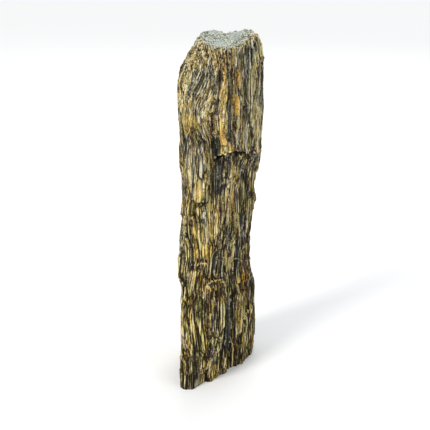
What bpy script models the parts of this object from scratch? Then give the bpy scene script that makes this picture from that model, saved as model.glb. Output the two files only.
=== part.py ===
"""Gneiss monolith: one standing column of rodded gneiss, sawn flat underneath and broken across the top.

The stone is a tube primitive whose rings are pushed out to the stone's section at each height. The section
is a block with broken-off sides, fitted between four outlines (left, right, front and back). Ridges run up
the columns of the mesh, breaks step the surface in and out, and the top is a dished cross fracture.
Metres, +Z up, the origin in the middle of the footprint, -Y is the front.
"""

import math

import bmesh
import bpy
import numpy as np
from mathutils import Vector, noise

# Driving dimensions
HEIGHT = 0.850          # to the general level of the broken top
COLUMNS = 96            # mesh columns round the stone
RINGS = 42              # mesh rings from the base to the rim
TOP_RINGS = (0.94, 0.82, 0.64, 0.44, 0.22)   # cap rings, as shares of the way from the middle to the rim

# Outlines of the column, as (height, offset) from the base to the rim
LEFT_OUTLINE = ((0.0, -0.1030), (0.13, -0.0995), (0.20, -0.0995), (0.265, -0.0955), (0.295, -0.1010),
                (0.34, -0.1020), (0.42, -0.0910), (0.50, -0.0890), (0.58, -0.0905), (0.66, -0.0975),
                (0.72, -0.1000), (0.76, -0.1000), (0.79, -0.0930), (0.825, -0.0715), (0.85, -0.0625))
RIGHT_OUTLINE = ((0.0, 0.0910), (0.08, 0.0910), (0.20, 0.0835), (0.245, 0.0725), (0.28, 0.0680),
                 (0.32, 0.0700), (0.35, 0.0720), (0.38, 0.0770), (0.43, 0.0820), (0.50, 0.0800),
                 (0.56, 0.0900), (0.63, 0.0950), (0.73, 0.0930), (0.77, 0.0935), (0.80, 0.0860),
                 (0.825, 0.0840), (0.85, 0.0780))
FRONT_OUTLINE = ((0.0, -0.122), (0.15, -0.117), (0.30, -0.110), (0.48, -0.103), (0.60, -0.104),
                 (0.72, -0.098), (0.80, -0.090), (0.85, -0.080))
BACK_OUTLINE = ((0.0, 0.122), (0.12, 0.121), (0.30, 0.110), (0.42, 0.106), (0.58, 0.104), (0.70, 0.099),
                (0.79, 0.090), (0.85, 0.076))

# Sides of the section: (bearing in degrees, distance) at the base and at the rim, where 1 is the outline
SIDES = {
    "broken right front": ((-46, 0.38), (-31, 0.75)),
    "right": ((0, 1.00), (8, 0.98)),
    "right back": ((44, 1.24), (50, 1.12)),
    "back": ((90, 1.00), (92, 1.00)),
    "left back": ((137, 1.16), (145, 0.93)),
    "left": ((180, 1.00), (180, 1.00)),
    "left front": ((225, 1.60), (222, 1.10)),
    "front": ((270, 1.00), (270, 1.00)),
}
ARRIS = (28.0, 14.0)    # at the base and at the rim; higher is a crisper edge between two sides
SECTION_STEP = 0.5      # degrees between the points that a section is worked out at

# Ridges of harder rods that stand proud up the sides
RIDGE_HEIGHT = 0.90     # as a share of the width of a mesh column
RIDGE_RUN = 0.17        # how far up a ridge keeps its height
COLUMN_STRIDE = 7.31    # neighbouring columns are this far apart in the noise, so that they are unlike
LUMP_HEIGHT = 0.0040
LUMP_SIZE = 0.085
LUMP_STRETCH = 0.45     # below 1, a lump is longer than it is wide

# Split plates: the rock came away in long pointed slivers, each at its own level
PLATE_WIDTH = 0.046
PLATE_RUN = 0.19
PLATE_STEP = 0.0050     # between the lowest and the highest level
PLATE_POINT = 0.55      # length of the pointed end, as a share of the plate's run
PLATE_STAGGER = 5       # neighbouring plates start up to this many runs apart
PLATE_WANDER = 0.012    # how far the edge of a plate strays
PLATE_WANDER_RUN = 0.06

# Breaks across the rods: (bearing, half width, height, rise, curl, drop, step, fade). Along a break its
# height is height + rise t + curl t^3, with t from -1 to 1 over its width, and the drop turns its left end
# down. A positive step leaves the stone proud above the break, a negative one leaves it proud below.
BREAKS = (
    (-45, 0.085, 0.590, -0.036, 0.023, 0.0450, 0.0110, 0.150),
    (-115, 0.017, 0.485, -0.003, 0.000, 0.000, 0.0055, 0.060),
    (-98, 0.018, 0.279, -0.005, 0.000, 0.000, -0.0060, 0.110),
    (-81, 0.010, 0.323, -0.002, 0.000, 0.000, -0.0050, 0.050),
    (-115, 0.015, 0.331, 0.004, 0.000, 0.000, -0.0045, 0.060),
    (-8, 0.017, 0.301, -0.009, 0.000, 0.000, -0.0030, 0.050),
    (4, 0.026, 0.238, 0.006, 0.000, 0.000, 0.0045, 0.070),
    (-135, 0.030, 0.642, 0.006, 0.004, 0.000, 0.0040, 0.070),
    (148, 0.045, 0.395, 0.016, -0.009, 0.000, 0.0085, 0.130),
    (142, 0.036, 0.640, -0.020, 0.014, 0.000, -0.0070, 0.110),
    (122, 0.044, 0.205, -0.022, 0.015, 0.000, 0.0085, 0.120),
    (97, 0.060, 0.505, 0.034, -0.024, 0.000, 0.0100, 0.160),
    (72, 0.040, 0.300, -0.018, 0.016, 0.000, -0.0075, 0.130),
    (66, 0.046, 0.690, 0.024, -0.016, 0.000, 0.0075, 0.100),
    (54, 0.040, 0.420, -0.020, 0.012, 0.000, 0.0085, 0.110),
    (22, 0.026, 0.140, 0.012, -0.006, 0.000, -0.0050, 0.080),
)
DROP_START = 0.68       # the drop begins this far to the left, as a share of the half width
BREAK_LIP = 0.0022      # the two rings that flank a break stand this far above and below it
BREAK_REACH = 0.0095    # a ring vertex nearer than this to a break is drawn in to flank it
BREAK_PROUD = 0.62      # share of the step that stands proud; the rest is cut in on the other side
BREAK_CUT_FADE = 3      # the cut-in side fades out this many times faster
BREAK_RAGGED = 0.0045   # how far a break strays from its straight line
BREAK_RAGGED_RUN = 0.016
EDGE_SOFTNESS = 0.5     # the edge of a break, notch or rod fades over this share of its half width

# Notches weathered out along the rods: (bearing, half width, low, high, depth)
NOTCHES = (
    (-97, 0.010, 0.584, 0.638, 0.0085),
    (-114, 0.009, -0.030, 0.092, 0.0080),
    (-52, 0.011, 0.020, 0.215, 0.0060),
    (-74, 0.006, 0.650, 0.790, 0.0045),
    (168, 0.010, 0.120, 0.330, 0.0070),
    (112, 0.011, 0.300, 0.470, 0.0065),
    (84, 0.010, -0.030, 0.170, 0.0070),
    (40, 0.010, 0.500, 0.640, 0.0065),
)

# Rods that stand out by themselves, with the same measures as a notch
PROUD_RODS = (
    (-86, 0.0085, 0.621, 0.788, 0.0065),
    (-66, 0.0080, 0.650, 0.724, 0.0050),
    (-115, 0.0120, 0.486, 0.538, 0.0045),
    (120, 0.0100, 0.520, 0.720, 0.0055),
    (60, 0.0090, 0.090, 0.260, 0.0055),
    (-172, 0.0100, 0.440, 0.600, 0.0050),
    (-129, 0.0180, -0.060, 0.090, 0.0040),
)

# The broken top: a dished face that rises a little towards the back and falls away over the left shoulder
TOP_DROP = 0.004        # the face's middle lies this far under HEIGHT
TOP_RISE = 0.055        # metres of height for a metre towards the back
TOP_HOLLOWS = (         # (x, y, half length in x, half length in y, depth); a depth below 0 is a hump
    (0.012, -0.005, 0.040, 0.075, 0.011),
    (0.008, 0.080, 0.020, 0.030, 0.009),
    (-0.013, 0.065, 0.026, 0.040, -0.004),
    (0.069, 0.040, 0.022, 0.040, -0.006),
    (-0.056, 0.035, 0.018, 0.035, -0.003),
)
SHOULDER_START = -0.050
SHOULDER_FALL = 0.45
TOP_LUMPS = ((0.017, 0.0026), (0.007, 0.0013))   # (size, height)
RIM_SHARE = 0.25        # the outer part of the top, where its edge follows the relief of the sides
SEED = Vector((3.7, 11.3, 5.9))

STONE_COLOUR = (0.203, 0.165, 0.086, 1)
STONE_ROUGHNESS = 0.72
SHARP_ANGLE = 40        # degrees; a steeper edge between two faces is shaded as a crease


def along(outline, height):
    """The outline's offset at a height, on a smooth curve through its points."""
    heights, offsets = np.array(outline).T
    slopes = np.gradient(offsets, heights)
    i = int(np.clip(np.searchsorted(heights, height) - 1, 0, len(heights) - 2))
    run = heights[i + 1] - heights[i]
    t = float(np.clip((height - heights[i]) / run, 0, 1))
    return float(
        offsets[i] * (1 + 2 * t) * (1 - t) ** 2
        + slopes[i] * run * t * (1 - t) ** 2
        + offsets[i + 1] * t * t * (3 - 2 * t)
        + slopes[i + 1] * run * t * t * (t - 1)
    )


def section(height):
    """COLUMNS points round the section at a height, their outward directions, and the step between them."""
    share = height / HEIGHT
    arris = ARRIS[0] + share * (ARRIS[1] - ARRIS[0])
    angles = np.radians(np.arange(-90, 270, SECTION_STEP))
    closeness = np.zeros(len(angles))
    for (base_bearing, base_distance), (rim_bearing, rim_distance) in SIDES.values():
        bearing = math.radians(base_bearing + share * (rim_bearing - base_bearing))
        distance = base_distance + share * (rim_distance - base_distance)
        closeness += (np.maximum(np.cos(angles - bearing), 0) / distance) ** arris
    radius = closeness ** (-1 / arris)
    x = fitted(radius * np.cos(angles), along(LEFT_OUTLINE, height), along(RIGHT_OUTLINE, height))
    y = fitted(radius * np.sin(angles), along(FRONT_OUTLINE, height), along(BACK_OUTLINE, height))
    ring = np.column_stack((np.append(x, x[0]), np.append(y, y[0])))
    walked = np.concatenate(([0], np.cumsum(np.linalg.norm(np.diff(ring, axis=0), axis=1))))
    stops = np.arange(COLUMNS) / COLUMNS * walked[-1]
    points = np.column_stack([np.interp(stops, walked, ring[:, k]) for k in (0, 1)])
    ahead = np.roll(points, -1, axis=0) - np.roll(points, 1, axis=0)
    outward = np.column_stack((ahead[:, 1], -ahead[:, 0]))
    return points, outward / np.linalg.norm(outward, axis=1)[:, None], stops[1]


def fitted(values, low, high):
    """The values stretched to run from low to high."""
    return low + (values - values.min()) * (high - low) / (values.max() - values.min())


def top_level(x, y):
    """Height of the broken top at a place."""
    level = HEIGHT - TOP_DROP + TOP_RISE * y - SHOULDER_FALL * max(0.0, SHOULDER_START - x)
    for hollow_x, hollow_y, length_x, length_y, depth in TOP_HOLLOWS:
        level -= depth * math.exp(-((x - hollow_x) / length_x) ** 2 - ((y - hollow_y) / length_y) ** 2)
    for size, height in TOP_LUMPS:
        level += height * noise.noise(Vector((x, y, 0)) / size + SEED)
    return level


def arc_from(bearing, x, y):
    """Distance round the stone from a bearing in degrees to a point, signed."""
    turn = (math.degrees(math.atan2(y, x)) - bearing + 180) % 360 - 180
    return math.radians(turn) * math.hypot(x, y)


def window(distance, half_width):
    """1 inside a feature and 0 outside it, with a smooth edge at its half width."""
    t = min(1.0, max(0.0, 0.5 + (half_width - abs(distance)) / (EDGE_SOFTNESS * half_width)))
    return t * t * (3 - 2 * t)


def break_line(feature, offset):
    """Height of a break at a distance along it: a slanting, curling, ragged line."""
    bearing, half_width, height, rise, curl, drop, _, _ = feature
    ragged = BREAK_RAGGED * noise.noise(Vector((offset / BREAK_RAGGED_RUN, bearing, 0)) + SEED)
    t = offset / half_width
    return height + rise * t + curl * t ** 3 - drop * max(0.0, -t - DROP_START) + ragged


def plate_level(x, y, z):
    """A level from -0.5 to 0.5, the same all over one split plate. Plates end at different heights."""
    stray = PLATE_WANDER * noise.noise(Vector((x, y, z)) / PLATE_WANDER_RUN + SEED)
    across = Vector(((x + stray) / PLATE_WIDTH, (y + stray) / PLATE_WIDTH, 0)) + SEED
    point = PLATE_POINT * max(abs(across.x % 1 - 0.5), abs(across.y % 1 - 0.5))
    start = PLATE_STAGGER * noise.cell(across)
    return noise.cell(Vector((across.x, across.y, (z + stray) / PLATE_RUN + point + start))) - 0.5


def relief(x, y, z, column, column_width):
    """How far the surface stands out of the plain section at a point of a mesh column."""
    ridge = noise.noise(Vector((column * COLUMN_STRIDE, z / RIDGE_RUN, 0)) + SEED)
    out = RIDGE_HEIGHT * column_width * ridge
    out += LUMP_HEIGHT * noise.noise(Vector((x, y, LUMP_STRETCH * z)) / LUMP_SIZE + SEED)
    out += PLATE_STEP * plate_level(x, y, z)
    for feature in BREAKS:
        bearing, half_width, _, _, _, _, step, fade = feature
        offset = arc_from(bearing, x, y)
        into_proud = (z - break_line(feature, offset)) * math.copysign(1, step)
        if into_proud > 0:
            side = BREAK_PROUD * math.exp(-into_proud / fade)
        else:
            side = (BREAK_PROUD - 1) * math.exp(BREAK_CUT_FADE * into_proud / fade)
        out += abs(step) * side * window(offset, half_width)
    for features, direction in ((NOTCHES, -1), (PROUD_RODS, 1)):
        for bearing, half_width, low, high, depth in features:
            across = window(arc_from(bearing, x, y), half_width)
            lengthwise = window(z - (low + high) / 2, (high - low) / 2)
            out += direction * depth * across * lengthwise
    return out


def drawn_to_breaks(x, y, z):
    """A ring vertex close to a break is moved to its lip, so that the step is crisp."""
    for feature in BREAKS:
        bearing, half_width = feature[:2]
        offset = arc_from(bearing, x, y)
        gap = z - break_line(feature, offset)
        if abs(offset) < half_width and abs(gap) < BREAK_REACH:
            return z - gap + math.copysign(BREAK_LIP, gap)
    return z


def tube():
    """A closed tube primitive of radius 1 and height 1, its sides cut into rings and its top cap inset."""
    bm = bmesh.new()
    bmesh.ops.create_cone(bm, cap_ends=True, segments=COLUMNS, radius1=1, radius2=1, depth=1)
    uprights = [e for e in bm.edges if abs(e.verts[0].co.z - e.verts[1].co.z) > 0.5]
    bmesh.ops.subdivide_edges(bm, edges=uprights, cuts=RINGS - 2)
    outer = 1.0
    for share in TOP_RINGS:
        cap = max(bm.faces, key=lambda face: (round(face.calc_center_median().z, 4), len(face.verts)))
        bmesh.ops.inset_individual(bm, faces=[cap], thickness=outer - share)
        outer = share
    cap = max(bm.faces, key=lambda face: (round(face.calc_center_median().z, 4), len(face.verts)))
    bmesh.ops.poke(bm, faces=[cap])
    return bm


def shape(bm):
    """Moves every vertex of the tube to its place on the stone."""
    turn = 2 * math.pi / COLUMNS
    rim, rim_outward, rim_step = section(HEIGHT)
    middle = rim.mean(axis=0)
    sections = [section(HEIGHT * level / (RINGS - 1)) for level in range(RINGS)]
    for v in bm.verts:
        share_up, share_out = v.co.z + 0.5, min(1.0, v.co.xy.length)
        column = round(math.atan2(v.co.y, v.co.x) / turn) % COLUMNS
        if share_out > (1 + TOP_RINGS[0]) / 2:   # on the sides
            level = round(share_up * (RINGS - 1))
            points, outward, step = sections[level]
            x, y = points[column]
            z = share_up * top_level(*rim[column])
            if 0 < level < RINGS - 1:
                z = drawn_to_breaks(x, y, z)
            out = relief(x, y, z, column, step)
            v.co = (x + out * outward[column][0], y + out * outward[column][1], z)
        else:                                    # on the broken top
            x, y = middle + share_out * (rim[column] - middle)
            edge = max(0.0, (share_out - 1 + RIM_SHARE) / RIM_SHARE)
            out = edge * relief(*rim[column], HEIGHT, column, rim_step)
            v.co = (x + out * rim_outward[column][0], y + out * rim_outward[column][1], top_level(x, y))


def centred(bm):
    """Puts the origin in the middle of the footprint's box, on the ground."""
    corners = np.array([v.co for v in bm.verts])
    low, high = corners.min(axis=0), corners.max(axis=0)
    shift = Vector((-(low[0] + high[0]) / 2, -(low[1] + high[1]) / 2, -low[2]))
    bmesh.ops.translate(bm, verts=bm.verts[:], vec=shift)


def stone_material():
    material = bpy.data.materials.new("banded_gneiss")
    material.use_nodes = True
    shader = material.node_tree.nodes["Principled BSDF"]
    shader.inputs["Base Color"].default_value = STONE_COLOUR
    shader.inputs["Roughness"].default_value = STONE_ROUGHNESS
    shader.inputs["Metallic"].default_value = 0.0
    return material


def main():
    for old in list(bpy.data.objects):
        bpy.data.objects.remove(old)
    collection = bpy.data.collections.new("gneiss_monolith")
    bpy.context.scene.collection.children.link(collection)

    bm = tube()
    shape(bm)
    centred(bm)
    bmesh.ops.triangulate(bm, faces=[f for f in bm.faces if len(f.verts) == 4])
    bmesh.ops.recalc_face_normals(bm, faces=bm.faces[:])
    mesh = bpy.data.meshes.new("gneiss_monolith")
    bm.to_mesh(mesh)
    bm.free()
    mesh.shade_smooth()
    mesh.set_sharp_from_angle(angle=math.radians(SHARP_ANGLE))
    mesh.materials.append(stone_material())
    collection.objects.link(bpy.data.objects.new("gneiss_monolith", mesh))


main()
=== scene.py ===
import math

import bmesh
import bpy
import numpy as np
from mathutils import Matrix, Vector, noise
from mathutils.bvhtree import BVHTree


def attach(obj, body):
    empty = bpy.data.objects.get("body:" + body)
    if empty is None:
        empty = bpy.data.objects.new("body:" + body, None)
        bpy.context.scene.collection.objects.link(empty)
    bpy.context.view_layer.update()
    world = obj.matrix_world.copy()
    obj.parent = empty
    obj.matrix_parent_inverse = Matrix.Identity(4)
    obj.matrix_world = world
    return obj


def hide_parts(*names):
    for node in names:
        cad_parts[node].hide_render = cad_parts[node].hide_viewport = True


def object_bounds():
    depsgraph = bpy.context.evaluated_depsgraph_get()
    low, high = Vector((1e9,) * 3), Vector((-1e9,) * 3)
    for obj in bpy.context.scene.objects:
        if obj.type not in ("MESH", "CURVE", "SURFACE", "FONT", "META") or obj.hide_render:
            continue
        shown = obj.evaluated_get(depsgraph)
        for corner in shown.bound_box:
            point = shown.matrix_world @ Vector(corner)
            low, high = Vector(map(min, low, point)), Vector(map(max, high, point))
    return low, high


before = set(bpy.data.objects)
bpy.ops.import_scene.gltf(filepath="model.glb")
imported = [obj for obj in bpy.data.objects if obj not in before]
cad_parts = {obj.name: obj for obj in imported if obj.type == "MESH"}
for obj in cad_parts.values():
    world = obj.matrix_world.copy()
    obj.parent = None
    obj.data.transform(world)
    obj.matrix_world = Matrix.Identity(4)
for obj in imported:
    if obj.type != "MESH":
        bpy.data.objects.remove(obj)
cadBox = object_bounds()
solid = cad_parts["gneiss_monolith"]


def deselectAll():
    bpy.ops.object.select_all(action="DESELECT")


def makeActive(piece):
    deselectAll()
    piece.select_set(True)
    bpy.context.view_layer.objects.active = piece


def smoothstep(low, high, value):
    t = np.clip((value - low) / (high - low), 0, 1)
    return t * t * (3 - 2 * t)


def noiseOver(points, size, seed, stretch=1.0):
    # Blender's gradient noise at every point, -1 to 1; a seed moves it to another part of the noise
    shift = Vector((seed, 2.3 * seed, 5.1 * seed))
    return np.array([noise.noise(Vector((x / size, y / size, z / size / stretch)) + shift)
                     for x, y, z in points])


def vectorsOf(piece, name):
    values = np.zeros(len(piece.data.vertices) * 3)
    piece.data.vertices.foreach_get(name, values)
    return values.reshape(-1, 3)


def pointsOf(piece):
    return vectorsOf(piece, "co")


def movePoints(piece, place):
    piece.data.vertices.foreach_set("co", place.ravel())
    piece.data.update()


def store(piece, name, values, kind="FLOAT"):
    layer = piece.data.attributes.new(name, kind, "POINT")
    layer.data.foreach_set("value" if kind == "FLOAT" else "vector", np.asarray(values, np.float32).ravel())


# the blank: a cylinder with rings round it and a quad grid on top

blank = {
    "columns": 460,
    "cuts": (1, 90),      # how the uprights are cut, one pass after the other
    "radius": 0.12,
    "height": 0.85,
    "margin": 0.0001,     # closer than this is the same place
}


def selectWhere(piece, kind, parts, wanted):
    bpy.ops.object.mode_set(mode="EDIT")
    bpy.ops.mesh.select_mode(type=kind)
    bpy.ops.mesh.select_all(action="DESELECT")
    bpy.ops.object.mode_set(mode="OBJECT")
    for part in getattr(piece.data, parts):
        part.select = wanted(part)
    bpy.ops.object.mode_set(mode="EDIT")


def selectFaces(piece, wanted):
    selectWhere(piece, "FACE", "polygons", wanted)


def selectEdges(piece, wanted):
    # wanted takes the heights of an edge's two ends
    points = piece.data.vertices
    selectWhere(piece, "EDGE", "edges", lambda edge: wanted(*(points[i].co.z for i in edge.vertices)))


def makeBlank():
    deselectAll()
    bpy.ops.mesh.primitive_cylinder_add(vertices=blank["columns"], radius=blank["radius"],
                                        depth=blank["height"], end_fill_type="NGON")
    piece = bpy.context.object
    piece.name = "gneissMonolith"
    for cuts in blank["cuts"]:
        selectEdges(piece, lambda a, b: abs(a - b) > blank["margin"])
        bpy.ops.mesh.subdivide(number_cuts=cuts)
    rim = blank["height"] / 2 - blank["margin"]
    selectFaces(piece, lambda face: len(face.vertices) > 4 and face.center.z > rim)
    bpy.ops.mesh.delete(type="ONLY_FACE")
    selectEdges(piece, lambda a, b: min(a, b) > rim)
    bpy.ops.mesh.fill_grid(span=blank["columns"] // 4)
    bpy.ops.mesh.select_all(action="DESELECT")
    bpy.ops.object.mode_set(mode="OBJECT")
    return piece


# wrapping the blank on the solid

wrap = {
    "weld": 0.00001,
    "footMiddle": (-0.0195, 0.019),   # the rays run to a slanting line through the stone
    "topMiddle": (0.0065, 0.001),
    "reach": 0.3,
    "bearings": 720,
    "levels": 60,
    "lowest": 0.002,
    "highest": 0.820,
    "evenRounds": 60,
    "evenLevels": 6,
    "rimRounds": 3,
    "rimInset": 0.96,
    "rimLift": 0.0015,
    "rimShare": 0.999,       # past this share of the way to the rim, the top counts as the sides
    "sideSmooth": 14,
    "topSmooth": 30,
    "flatFrom": 0.7,         # z of a face's normal, from which it isn't on the sides
    "levelFoot": 0.003,      # points lower than this only move level, so the base stays flat
}


def solidSurface(node):
    bm = bmesh.new()
    bm.from_mesh(node.data)
    bmesh.ops.remove_doubles(bm, verts=bm.verts, dist=wrap["weld"])
    tree = BVHTree.FromBMesh(bm)
    bm.free()
    return tree


def middleAt(z):
    share = z / blank["height"]
    return [a + share * (b - a) for a, b in zip(wrap["footMiddle"], wrap["topMiddle"])]


def radiusAt(tree, bearing, z):
    x, y = middleAt(z)
    out = Vector((math.cos(bearing), math.sin(bearing), 0))
    hit = tree.ray_cast(Vector((x, y, z)) + wrap["reach"] * out, -out)
    return wrap["reach"] - hit[3]


def topAt(tree, x, y):
    return tree.ray_cast(Vector((x, y, 2 * blank["height"])), Vector((0, 0, -1)))[0].z


def evenBearings(tree):
    # bearings that space the columns evenly round the stone, for a few levels
    bearings = np.linspace(0, 2 * math.pi, wrap["bearings"], endpoint=False)
    heights = np.linspace(wrap["lowest"], wrap["highest"], wrap["levels"])
    radii = np.array([[radiusAt(tree, b, z) for b in bearings] for z in heights])
    for _ in range(wrap["evenRounds"]):
        radii = (np.roll(radii, 1, axis=1) + 2 * radii + np.roll(radii, -1, axis=1)) / 4
    for _ in range(wrap["evenLevels"]):
        radii = (np.vstack((radii[:1], radii[:-1])) + 2 * radii + np.vstack((radii[1:], radii[-1:]))) / 4
    rows = []
    for row in radii:
        closed = np.append(row, row[0])
        turn = np.append(bearings, 2 * math.pi)
        walked = np.cumsum(np.hypot(np.diff(closed), closed[1:] * np.diff(turn)))
        walked = np.concatenate(([0], walked))
        rows.append(np.interp(np.arange(blank["columns"]) / blank["columns"] * walked[-1], walked, turn))
    return heights, np.array(rows)


def rimHeights(tree, bearings):
    # the solid's top just inside its rim, at each column
    heights = []
    for bearing in bearings:
        z = wrap["highest"]
        for _ in range(wrap["rimRounds"]):
            x, y = middleAt(z)
            r = wrap["rimInset"] * radiusAt(tree, bearing, z - 2 * wrap["rimLift"])
            z = topAt(tree, x + r * math.cos(bearing), y + r * math.sin(bearing))
        heights.append(z)
    return np.array(heights)


def onSides(share):
    return share > wrap["rimShare"]


def wrapBlank(piece, tree):
    # gives back each point's share of the way from the top's middle to the rim
    heights, rows = evenBearings(tree)
    rimZ = rimHeights(tree, rows[-1])
    columns = blank["columns"]
    start = pointsOf(piece)
    share = np.hypot(start[:, 0], start[:, 1]) / blank["radius"]
    column = np.arctan2(start[:, 1], start[:, 0]) / (2 * math.pi) * columns % columns
    onTop = share < 1 - blank["margin"]
    place = start.copy()
    ring = np.zeros((columns, 3))
    for i in np.nonzero(~onTop)[0]:
        nearest = round(column[i]) % columns
        z = (start[i, 2] / blank["height"] + 0.5) * rimZ[nearest]
        bearing = np.interp(z, heights, rows[:, nearest])
        x, y = middleAt(z)
        r = radiusAt(tree, bearing, min(max(z, wrap["lowest"] / 4), rimZ[nearest] - wrap["rimLift"]))
        place[i] = x + r * math.cos(bearing), y + r * math.sin(bearing), z
        if start[i, 2] > blank["height"] / 2 - blank["margin"]:
            ring[nearest] = place[i]
    middle = ring.mean(axis=0)[:2]
    for i in np.nonzero(onTop)[0]:
        low = int(column[i])
        edge = ring[low] + (column[i] - low) * (ring[(low + 1) % columns] - ring[low])
        x, y = middle + share[i] * (edge[:2] - middle)
        inner = middle + min(share[i], wrap["rimInset"]) * (edge[:2] - middle)
        place[i] = x, y, topAt(tree, *inner)
    movePoints(piece, place)
    return share


def softenFacets(piece):
    # the sides lose the solid's facets, and the top loses its spokes
    makeActive(piece)
    selectFaces(piece, lambda face: abs(face.normal.z) < wrap["flatFrom"])
    bpy.ops.mesh.vertices_smooth(factor=0.5, repeat=wrap["sideSmooth"], zaxis=False)
    selectFaces(piece, lambda face: face.normal.z > wrap["flatFrom"] and face.center.z > wrap["highest"] / 2)
    bpy.ops.mesh.vertices_smooth(factor=0.5, repeat=wrap["topSmooth"], xaxis=False, yaxis=False)
    bpy.ops.object.mode_set(mode="OBJECT")


def outwardOf(piece):
    out = vectorsOf(piece, "normal")
    out[pointsOf(piece)[:, 2] < wrap["levelFoot"], 2] = 0
    return out / np.linalg.norm(out, axis=1)[:, None]


# breaks and flakes across the rods; along a break its height is height + rise t - bow t^2 + curl t^3, and t
# runs from -1 to 1

breakFields = ("bearing", "halfWidth", "height", "rise", "curl", "bow", "drop", "step", "ragged",
               "run", "proud", "undercut")

breaks = {
    # the first nine fields, the bearing in degrees. A step above 0 is proud above the break, and the drop
    # turns the left end down
    "overhang": (-45, 0.085, 0.59, -0.036, 0.023, 0, 0.045, 0.015, 0.12),
    "goldPatchFoot": (-115, 0.017, 0.484, -0.003, 0, -0.004, 0, 0.0055, 0.5),
    "frontFlake": (-98, 0.018, 0.282, -0.005, 0, 0.012, 0, -0.006, 0.3),
    "hookFlake": (-81, 0.008, 0.325, -0.002, 0, 0.008, 0, -0.005, 0.1),
    "leftFlake": (-115, 0.014, 0.332, 0.006, 0, 0.007, 0, -0.005, 0.3),
    "rightFlake": (-8, 0.017, 0.3025, -0.009, 0, 0.008, 0, -0.0035, 0.2),
    "rustLedge": (4, 0.026, 0.238, 0.006, 0, 0, 0, 0.0045, 1),
    "leftShelf": (-135, 0.03, 0.642, 0.006, 0.004, 0, 0, 0.0012, 1),
    "leftBack": (148, 0.045, 0.395, 0.016, -0.009, 0, 0, 0.0085, 1),
    "leftUpper": (142, 0.036, 0.64, -0.02, 0.014, 0, 0, -0.007, 1),
    "backLow": (122, 0.044, 0.205, -0.022, 0.015, 0, 0, 0.0085, 1),
    "backMiddle": (97, 0.06, 0.505, 0.034, -0.024, 0, 0, 0.01, 1),
    "backFoot": (72, 0.04, 0.3, -0.018, 0.016, 0, 0, -0.0075, 1),
    "backUpper": (66, 0.046, 0.69, 0.024, -0.016, 0, 0, 0.0075, 1),
    "rightBack": (54, 0.04, 0.42, -0.02, 0.012, 0, 0, 0.0085, 1),
    "rightFoot": (22, 0.026, 0.14, 0.012, -0.006, 0, 0, -0.005, 1),
}

chips = {
    "seed": 41,
    "count": 260,
    "height": (0.02, 0.83),
    "halfWidth": (0.003, 0.014),
    "step": (0.0010, 0.0032),
    "run": (0.018, 0.060),
    "slant": 0.9,            # of the half width
    "ragged": 0.4,           # at a half width of one tooth, and more for a wider chip
}

breakEdge = {
    "crispRun": 0.014,       # the wrap softened each step over about this height
    "proud": 0.5,            # how much of a named step comes out on its proud side
    "tooth": 0.0050,         # width of the rods that make the ragged line
    "toothRise": 0.0090,
    "teeth": 400,
    "softEnds": 0.5,
    "dropStart": 0.68,
    "lip": 0.0005,           # half the height over which a step is made
    "snap": 0.0026,          # points this close to a break are moved to one side of its step,
    "snapFrom": 0.012,       # if they are higher than this
    "snapSlope": 0.4,        # and their normal's z is less
    "undercut": 0.60,        # of the step, just under a break
    "flakeUndercut": 0.20,   # and just above a flake
    "undercutRun": 0.005,
    "deepStep": 0.008,       # a step this big has the full shadow
    "deepest": 1.3,
    "shadowRun": 0.010,
    "shade": 0.58,           # how much darker the stone is in the full shadow
    "mostShade": 1.2,
    "flakeShade": 0.25,      # what is left of shadow and dark lip at a step that faces up
    "fullStep": 0.0060,      # a step this big has the full painted shadow under its lip
    "lipReach": 0.02,
    "lipFrom": 0.02,         # a lip is felt where its break's window is above this
    "lipHighlight": 0.6,           # how bright the painted highlight on a lip is, and how that changes from tooth to tooth
    "lipUneven": 0.8,
}


def window(distance, halfWidth):
    return smoothstep(-0.5, 0.5, (halfWidth - np.abs(distance)) / (breakEdge["softEnds"] * halfWidth))


def arcFrom(bearing, points):
    turn = (np.degrees(np.arctan2(points[:, 1], points[:, 0])) - bearing + 180) % 360 - 180
    return np.radians(turn) * np.hypot(points[:, 0], points[:, 1])


def allBreaks(rng):
    # the named breaks sharpen the solid's own steps, and the small chips are whole steps of their own
    for *fields, step, ragged in breaks.values():
        undercut = breakEdge["undercut"] if step > 0 else breakEdge["flakeUndercut"]
        yield *fields, step, ragged, breakEdge["crispRun"], breakEdge["proud"], undercut
    for _ in range(chips["count"]):
        halfWidth = rng.uniform(*chips["halfWidth"])
        slant = rng.uniform(-1, 1) * chips["slant"] * halfWidth
        step = rng.uniform(*chips["step"]) * rng.choice((-1, 1))
        ragged = min(1.0, chips["ragged"] * halfWidth / breakEdge["tooth"])
        bearing, height = rng.uniform(-180, 180), rng.uniform(*chips["height"])
        run = rng.uniform(*chips["run"])
        yield bearing, halfWidth, height, slant, 0, 0, 0, step, ragged, run, 1, 0


def falloff(distance, run):
    return np.exp(-np.abs(distance) / run)


def toothHeights(offset, rng):
    # one draw for each rod along a break, -0.5 to 0.5
    teeth = rng.uniform(-0.5, 0.5, breakEdge["teeth"])
    tooth = np.clip(offset / breakEdge["tooth"] + breakEdge["teeth"] / 2, 0, breakEdge["teeth"] - 1)
    return teeth[tooth.astype(int)]


def breakLine(one, offset, teeth):
    # the break's height at each point, and how far the point is past the start of the drop
    t = offset / one["halfWidth"]
    leftEnd = np.maximum(0, -t - breakEdge["dropStart"])
    line = one["height"] + one["rise"] * t - one["bow"] * t ** 2 + one["curl"] * t ** 3
    line += one["ragged"] * (leftEnd == 0) * breakEdge["toothRise"] * teeth - one["drop"] * leftEnd
    return line, leftEnd


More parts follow.
